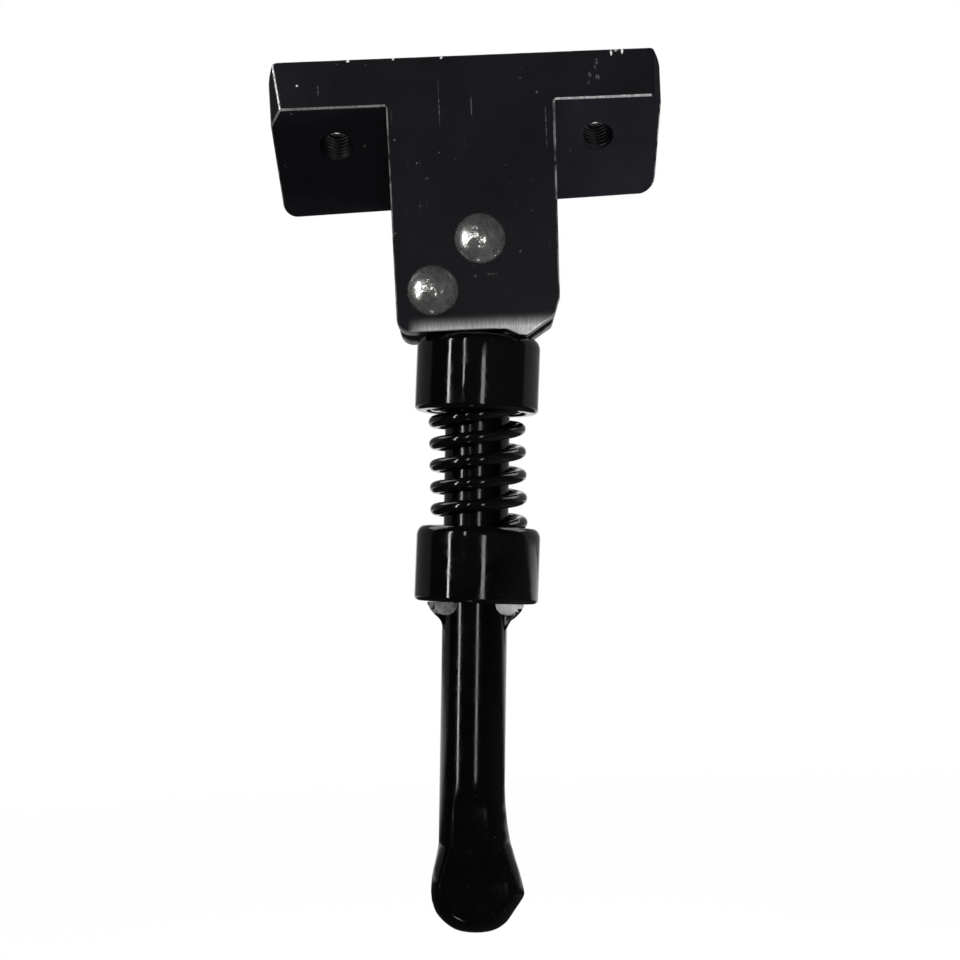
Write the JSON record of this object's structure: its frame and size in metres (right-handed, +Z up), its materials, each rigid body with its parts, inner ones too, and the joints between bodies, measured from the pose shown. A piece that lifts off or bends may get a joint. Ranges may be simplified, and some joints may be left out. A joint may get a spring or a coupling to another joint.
{
  "type": "electric scooter kickstand",
  "caption": "Black steel kickstand with a sloping bolt-on flange, a riveted leg with a flattened foot, and a sliding collar and spring that hold it folded or down.",
  "frame": {"origin": "on the flange's upper mounting face, midway between the two bolt axes", "axes": "+Z up with the leg hanging down, +X to the right along the flange, +Y to the back along the pivot axis, away from the viewer"},
  "size_m": [0.0964, 0.0328, 0.2151],
  "materials": {
    "bracket_paint": "semi-gloss black paint with chips and scratches",
    "leg_paint": "high-gloss black paint, bare metal in the punch marks under the lower collar",
    "collar_paint": "high-gloss black paint",
    "rivet_steel": "bare hammered steel, worn",
    "spring_wire": "gloss black coated wire"
  },
  "bodies": {
    "bracket": {"mount_bracket": "bracket_paint", "pivot_rivet": "rivet_steel", "stop_rivet": "rivet_steel"},
    "leg": {"leg": "leg_paint", "spring": "spring_wire", "lower_collar": "collar_paint"},
    "slider": {"upper_collar": "collar_paint"}
  },
  "joints": [
    {"name": "leg_swing", "type": "hinge", "parent": "bracket", "child": "leg", "pos_m": [0.0023, -0.00216, -0.03368], "axis": [0, -1, 0], "range_deg": [0, 93.2]},
    {"name": "collar_slide", "type": "slide", "parent": "leg", "child": "slider", "axis": [-0.0554, 0, -0.9985], "range_m": [0, 0.006], "stiffness_N_per_m": 6000, "deforming": ["spring"]}
  ]
}
